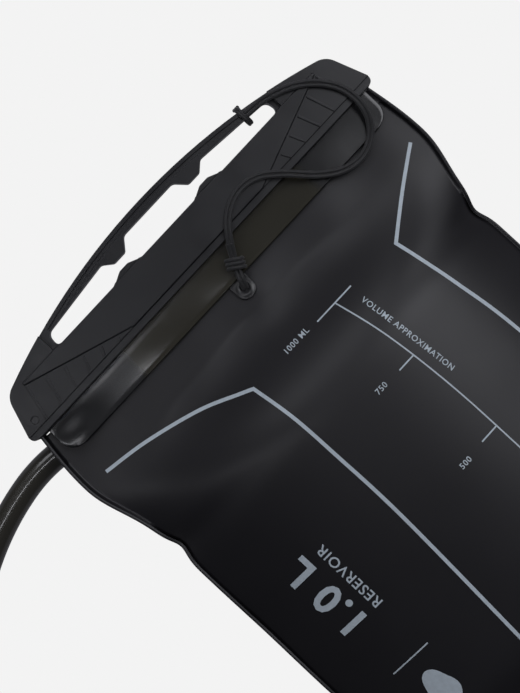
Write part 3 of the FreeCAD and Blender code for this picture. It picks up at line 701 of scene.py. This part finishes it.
def settle(obj):
    """Lays the filled bag down: flat by the slider, and over the floor, hose and outlet."""
    run_out, flattened = 15 * MM, 0.82
    spots = under_spots()
    for vert in obj.data.vertices:
        spot = vert.co
        spot.z *= 0.04 + 0.96 * smooth_step((88 * MM - spot.y) / (62 * MM))
        if spot.z > 0:
            spot.z *= flattened
            gathered = math.exp(-(((spot.y - 72 * MM) / (9 * MM)) ** 2))
            spot.z += 0.35 * MM * gathered * math.sin(spot.x / (5.2 * MM))
            pull = math.hypot(spot.x - 4 * MM, spot.y - 69 * MM) / (6 * MM)
            spot.z += 1.1 * MM * math.exp(-(pull**2))
        spot.z += SEAM
        if spot.z > SEAM - 4 * MM:
            continue
        lift = 0.5 * MM
        for x, y, top, reach in spots:
            away = math.hypot(spot.x - x, spot.y - y) - reach
            if away < run_out:
                lift = max(lift, top * (1 - smooth_step(away / run_out)))
        spot.z = soft_max(spot.z, lift, 1 * MM)


def add_weld(obj, rim):
    """A flat welded band round the sides and the bottom, as thick as both films."""
    mesh = bmesh.new()
    mesh.from_mesh(obj.data)
    mesh.verts.ensure_lookup_table()
    edge = [mesh.verts[number] for number in rim]
    count = len(edge)
    middle = Vector((0, -15 * MM, SEAM))
    outward = []
    for at in range(count):
        along = edge[min(at + 1, count - 1)].co - edge[max(at - 1, 0)].co
        away = along.cross(Vector((0, 0, 1))).normalized()
        outward.append(away if away.dot(edge[at].co - middle) > 0 else -away)
    rims = {}
    for side in (1, -1):
        inner = edge
        for step in (0.5, 1.0):
            thick = Vector((0, 0, side * HALF_WELD_THICK))
            outer = [
                mesh.verts.new(vert.co + away * WELD * step + thick)
                for vert, away in zip(edge, outward)
            ]
            for at in range(count - 1):
                mesh.faces.new([inner[at], inner[at + 1], outer[at + 1], outer[at]])
            inner = outer
        rims[side] = inner
    for at in range(count - 1):
        mesh.faces.new([rims[1][at], rims[1][at + 1], rims[-1][at + 1], rims[-1][at]])
    bmesh.ops.recalc_face_normals(mesh, faces=mesh.faces)
    mesh.to_mesh(obj.data)
    mesh.free()


def add_mouth(obj, top):
    """The films run on, flat, into the slider's channel: a thin closed band."""
    middle = obj.data.vertices[top[0]].co.z
    low, high = SLIDER_LOW - 0.6 * MM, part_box("front_film")[1].y - 3 * MM
    mesh = bmesh.new()
    mesh.from_mesh(obj.data)
    rings = []
    for side in (1, -1):
        rows = []
        for y in (low, low + 1 * MM, high - 1 * MM, high):
            half = filled_half(y)
            spots = (-half, WELD - half, 0, half - WELD, half)
            rows.append([mesh.verts.new((x, y, middle + side * HALF_MOUTH_THICK)) for x in spots])
        for lower, upper in zip(rows, rows[1:]):
            for at in range(len(lower) - 1):
                mesh.faces.new([lower[at], lower[at + 1], upper[at + 1], upper[at]])
        right = [row[-1] for row in rows[1:]]
        left = [row[0] for row in rows[-2:0:-1]]
        rings.append(rows[0] + right + rows[-1][-2::-1] + left)
    front, back = rings
    for at in range(len(front)):
        after = (at + 1) % len(front)
        mesh.faces.new([front[at], front[after], back[after], back[at]])
    mesh.to_mesh(obj.data)
    mesh.free()


def make_bag():
    flat, filled, faces, rim, top = film_grid()
    bag = mesh_object("bag_skin", filled, faces)
    inflate(bag, flat, rim + top)
    settle(bag)
    add_mouth(bag, top)
    add_weld(bag, rim)
    subdivide(bag)
    shade_smooth(bag.data)
    add(bag, "bag", "bag_film", "front_film", "back_film")
    return bag


class Surface:
    """Heights of the bag's front, for what lies on it."""

    def __init__(self, obj):
        spots = [vert.co.copy() for vert in obj.data.vertices]
        self.tree = BVHTree.FromPolygons(spots, [face.vertices for face in obj.data.polygons])

    def height(self, x, y):
        hit = self.tree.ray_cast(Vector((x, y, 0.2)), Vector((0, 0, -1)))[0]
        return hit.z if hit else SEAM


# ------------------------------------------------------------------ flap


def make_flap(surface):
    """The folded mouth: it comes out of the slider and lies on the bag's front."""
    low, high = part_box("mouth_flap")
    corner = 6 * MM
    columns, rows = 110, 14
    thick = 0.9 * MM
    out_of_slider = high.z - thick
    verts = []
    for row in range(rows + 1):
        y = low.y + (high.y - 1 * MM - low.y) * (row / rows) ** 1.2
        into_corner = low.y + corner - y
        inset = corner - math.sqrt(max(corner**2 - into_corner**2, 0)) if into_corner > 0 else 0
        for column in range(columns + 1):
            x = low.x + inset + (high.x - low.x - 2 * inset) * column / columns
            free = smooth_step((SLIDER_LOW - y) / (10 * MM))
            wave = 0.35 * MM * free * math.sin(x / (9.5 * MM)) * math.cos(x / (23 * MM))
            wave += 1.3 * MM * free * math.exp(-(((x - low.x - 6 * MM) / (9 * MM)) ** 2))
            wave += 0.25 * MM * (row == 0)
            above_film = surface.height(x, y) + 0.35 * MM
            z = out_of_slider
            if y < SLIDER_LOW:
                z = soft_max(out_of_slider, above_film, 0.6 * MM) + wave + 0.3 * MM * free
            verts.append(Vector((x, y, z)))
    flap = mesh_object("mouth_flap_film", verts, grid_faces(columns, rows))
    shell = flap.modifiers.new("thickness", "SOLIDIFY")
    shell.thickness = thick
    shell.offset = 1.0
    rounding = flap.modifiers.new("edge", "BEVEL")
    rounding.width = 0.25 * MM
    rounding.segments = 2
    rounding.limit_method = "ANGLE"
    apply_modifiers(flap)
    shade_smooth(flap.data)
    add(flap, "bag", "flap_film", "mouth_flap")


# ------------------------------------------------------------------ print


def resample(points, step=1.2):
    """The polyline as evenly spaced points, keeping its ends."""
    found = [Vector((*points[0], 0))]
    for first, last in zip(points, points[1:]):
        a, b = Vector((*first, 0)), Vector((*last, 0))
        count = max(1, round((b - a).length / step))
        found += [a.lerp(b, at / count) for at in range(1, count + 1)]
    return found


def ribbon(points, width, surface, verts, faces):
    """A flat printed line that follows the bag's front."""
    path = resample(points)
    lift = 0.12 * MM
    for at, here in enumerate(path):
        before = path[max(at - 1, 0)]
        after = path[min(at + 1, len(path) - 1)]
        into = (here - before).normalized() if at else (after - here).normalized()
        out = (after - here).normalized() if at < len(path) - 1 else into
        side = (into + out).normalized()
        side = Vector((-side.y, side.x, 0)) / max(math.cos(into.angle(out) / 2), 0.3)
        for offset in (-0.5, 0, 0.5):
            spot = (here + side * width * offset) * MM
            verts.append(Vector((spot.x, spot.y, surface.height(spot.x, spot.y) + lift)))
        if at:
            start = len(verts) - 6
            for lane in (0, 1):
                faces.append((start + lane, start + lane + 1, start + lane + 4, start + lane + 3))


def arc_through(points, steps=10):
    """A smooth line through a few points."""
    found = []
    padded = [points[0], *points, points[-1]]
    for at in range(1, len(padded) - 2):
        p0, p1, p2, p3 = (Vector(p) for p in padded[at - 1 : at + 3])
        for step in range(steps):
            t = step / steps
            spot = 0.5 * (
                2 * p1 + (p2 - p0) * t + (2 * p0 - 5 * p1 + 4 * p2 - p3) * t**2
                + (3 * p1 - p0 - 3 * p2 + p3) * t**3
            )
            found.append(tuple(spot))
    return found + [tuple(points[-1])]


def make_print(surface):
    """Two thick guide lines and a curved volume scale with its ticks."""
    verts, faces = [], []
    left_top = arc_through(
        [(-75.5, 67.3), (-58.5, 64.3), (-38.1, 58.4), (-24.4, 52.1), (-19.9, 49.9)]
    )
    left_down = arc_through(
        [(-19.9, 49.9), (-17.7, 34), (-17.1, 15.8), (-17, -15.5), (-19.8, -73.7)]
    )
    right_top = arc_through([(78.5, 68), (64, 58.6), (48.8, 48.2)])
    right_down = arc_through([(48.8, 48.2), (52.5, 24), (55.1, 3.4), (56.5, -30), (56, -78)])
    for line in (left_top + left_down[1:], right_top + right_down[1:]):
        ribbon(line, 1.25, surface, verts, faces)
    axis = arc_through(
        [
            (19.9, 49.5), (22.7, 34.4), (24.6, 18.6), (25.8, 1.1),
            (26.2, -17.1), (26.2, -54), (25.4, -76),
        ]
    )
    thin = 0.5
    ribbon(axis, thin, surface, verts, faces)
    ticks = ((11.2, 27.8, 49.6), (17.6, 24.6, 19), (19, 26.2, -17), (19.2, 26.2, -54))
    divider = (-58, -42, -50)
    for left, right, y in (*ticks, divider):
        ribbon([(left, y), (right, y)], thin, surface, verts, faces)
    add_print(mesh_object("print_lines", verts, faces))


def make_label(text, x, y, cap, surface, turn=0.0, bold=0.012):
    """A printed label, centred on x, y, laid on the bag's front."""
    data = bpy.data.curves.new(f"label {text}", "FONT")
    data.body = text
    data.align_x = "CENTER"
    data.align_y = "CENTER"
    data.size = cap / 0.7 * MM
    data.space_character = 1.12
    data.resolution_u = 3
    data.offset = bold * data.size
    source = link(bpy.data.objects.new("label", data))
    mesh = as_mesh(source)
    bpy.data.objects.remove(source)
    place = Matrix.Translation((x * MM, y * MM, 0)) @ Matrix.Rotation(turn, 4, "Z")
    mesh.transform(place)
    finer = bmesh.new()
    finer.from_mesh(mesh)
    bmesh.ops.triangulate(finer, faces=finer.faces)
    passes, longest = 8, 0.9 * MM
    for _ in range(passes):
        long_edges = [edge for edge in finer.edges if edge.calc_length() > longest]
        if not long_edges:
            break
        bmesh.ops.subdivide_edges(finer, edges=long_edges, cuts=1)
        bmesh.ops.triangulate(finer, faces=finer.faces)
    finer.to_mesh(mesh)
    finer.free()
    for vert in mesh.vertices:
        vert.co.z = surface.height(vert.co.x, vert.co.y) + 0.14 * MM
    name = "label_" + text.replace(" ", "_")
    add_print(link(bpy.data.objects.new(name, mesh)))


def make_labels(surface):
    """The scale's numbers, and the size of the bag beside the left guide line."""
    numbers = (("1000 ML", 1.6, 50.3), ("750", 9.2, 19.3), ("500", 10.2, -17.7), ("250", 10.4, -54))
    for text, x, y in numbers:
        make_label(text, x, y, 2.0, surface)
    along = math.radians(90)
    make_label("VOLUME APPROXIMATION", 28.6, 25, 2.0, surface, math.radians(-85))
    make_label("1.0 L", -54, -16, 10, surface, along, 0.03)
    make_label("RESERVOIR", -43.5, -16, 3.6, surface, along)


def make_drop(surface):
    """A plain water drop under the size."""
    middle_x, middle_y, radius = -50, -66, 5.5
    verts, faces = [], []
    steps = 48
    for lane in range(5):
        for at in range(steps):
            turn = 2 * math.pi * at / steps
            tip = max(math.cos(turn), 0) ** 6
            reach = radius * (1 + 0.75 * tip) * (lane + 0.02) / 4.02
            x = middle_x + reach * math.sin(turn)
            y = middle_y + reach * math.cos(turn)
            height = surface.height(x * MM, y * MM) + 0.12 * MM
            verts.append(Vector((x * MM, y * MM, height)))
            if lane:
                inner, outer = (lane - 1) * steps, lane * steps
                after = (at + 1) % steps
                faces.append((inner + at, outer + at, outer + after, inner + after))
    add_print(mesh_object("print_drop", verts, faces))


# ------------------------------------------------------------------ stage


def make_stage():
    """A pale floor, a soft surround, and three soft lights."""
    floor = mesh_object("floor", [(-3, -3, 0), (3, -3, 0), (3, 3, 0), (-3, 3, 0)], [(0, 1, 2, 3)])
    made = bpy.data.materials.new("painted floor")
    made.use_nodes = True
    made.node_tree.nodes.clear()
    direct = node(made, "ShaderNodeLightPath", {}).outputs["Is Camera Ray"]
    shades = {0: direct, 6: srgb("#77777c"), 7: srgb("#f3f3f3")}
    shade = node(made, "ShaderNodeMix", shades, data_type="RGBA")
    glow = node(made, "ShaderNodeEmission", {"Color": shade.outputs[2]})
    node(made, "ShaderNodeOutputMaterial", {"Surface": glow.outputs["Emission"]})
    paint(floor, made)
    floor.location.z = -0.2 * MM

    world = bpy.data.worlds.new("surround")
    world.use_nodes = True
    background = world.node_tree.nodes["Background"]
    background.inputs["Color"].default_value = (0.9, 0.92, 1.0, 1)
    background.inputs["Strength"].default_value = 0.075
    bpy.context.scene.world = world
    bpy.context.scene.view_settings.view_transform = "Standard"

    lights = (
        ("main softbox", (0.5, 0.1, 0.75), 0.6, 0.5, 3.3),
        ("hose strip", (-0.35, 0.25, 0.75), 0.03, 0.7, 0.75),
        ("back softbox", (0.09, 0.63, 0.6), 0.6, 0.3, 1.3),
    )
    target = Vector((-0.01, 0.05, 0.02))
    for name, where, wide, tall, power in lights:
        data = bpy.data.lights.new(name, "AREA")
        data.shape = "RECTANGLE"
        data.size = wide
        data.size_y = tall
        data.energy = power
        data.color = (0.94, 0.95, 1.0)
        lamp = link(bpy.data.objects.new(name, data))
        lamp.location = where
        lamp.rotation_euler = (target - Vector(where)).to_track_quat("-Z", "Y").to_euler()


make_camera()
finish_nodes()
make_hose()
make_tether()
bag = make_bag()
front = Surface(bag)
make_flap(front)
make_tab(front)
make_knot(front)
make_hitch()
make_spring()
make_print(front)
make_labels(front)
make_drop(front)
make_stage()
